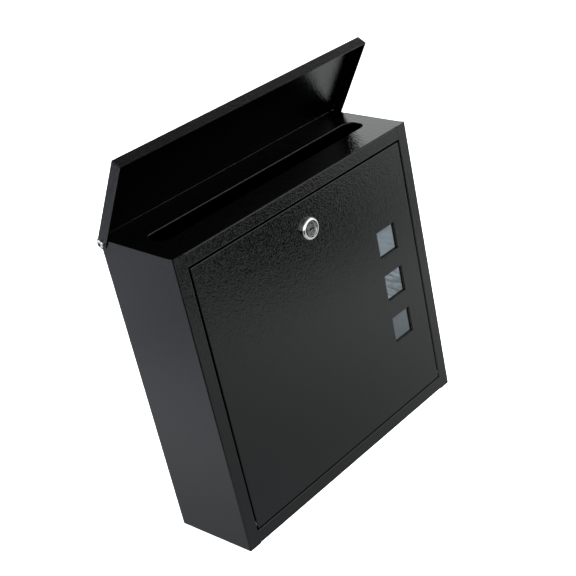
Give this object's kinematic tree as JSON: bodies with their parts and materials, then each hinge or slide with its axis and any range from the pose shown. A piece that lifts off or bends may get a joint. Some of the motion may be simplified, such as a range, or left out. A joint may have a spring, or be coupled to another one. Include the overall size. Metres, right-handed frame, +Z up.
{
  "type": "wall mounted mailbox",
  "caption": "Tall shallow sheet-steel wall mailbox with a mail slot in its sloping top under a hinged lid, and a flush drop-down front door with small square windows and a round cam lock.",
  "frame": {"origin": "centre of the rectangle of four wall holes, on the wall plane that the stand-off bosses touch", "axes": "+X across to the viewer's right, +Y into the wall, +Z up; the door faces -Y"},
  "size_m": [0.3784, 0.117, 0.4459],
  "materials": {
    "black_steel": "satin black powder coat with a fine leathery texture",
    "lid_black_steel": "satin black powder coat with a fine leathery texture",
    "door_black_steel": "satin black powder coat with a fine leathery texture",
    "plated_steel": "bright zinc plate",
    "lock_chrome": "polished chrome plate",
    "lock_plug_chrome": "chrome plate, slightly dulled by keys",
    "lock_brass": "plain stamped brass",
    "spring_steel": "oiled spring steel",
    "nylon": "moulded black nylon",
    "window_acrylic": "clear grey-blue acrylic sheet",
    "foam_tape": "black closed-cell foam tape"
  },
  "bodies": {
    "box": {"body_shell": "black_steel", "top_plate": "black_steel", "bottom_plate": "black_steel", "lid_rivet_left": "plated_steel", "lid_rivet_right": "plated_steel", "lid_washer_left": "plated_steel", "lid_washer_right": "plated_steel", "door_rivet_left": "plated_steel", "door_rivet_right": "plated_steel", "door_washer_left": "nylon", "door_washer_right": "nylon"},
    "lid": {"lid": "lid_black_steel"},
    "door": {"door": "door_black_steel", "window_pane": "window_acrylic", "window_tape": "foam_tape", "lock_housing": "lock_chrome", "lock_nut": "plated_steel"},
    "lock": {"lock_plug": "lock_plug_chrome", "lock_wafers": "lock_brass", "lock_wafer_springs": "spring_steel", "lock_stop_washer": "plated_steel", "lock_cam": "plated_steel", "lock_spring_washer": "spring_steel", "lock_cam_screw": "plated_steel"}
  },
  "joints": [
    {"name": "lid_hinge", "type": "hinge", "parent": "box", "child": "lid", "pos_m": [0, -0.008, 0.1736], "axis": [-1, 0, 0], "range_deg": [-60.7, 33.6]},
    {"name": "door_hinge", "type": "hinge", "parent": "box", "child": "door", "pos_m": [0, -0.1075, -0.154], "axis": [1, 0, 0], "range_deg": [0, 120]},
    {"name": "lock_turn", "type": "hinge", "parent": "door", "child": "lock", "pos_m": [0, -0.112, 0.1198], "axis": [0, -1, 0], "range_deg": [0, 90]}
  ]
}
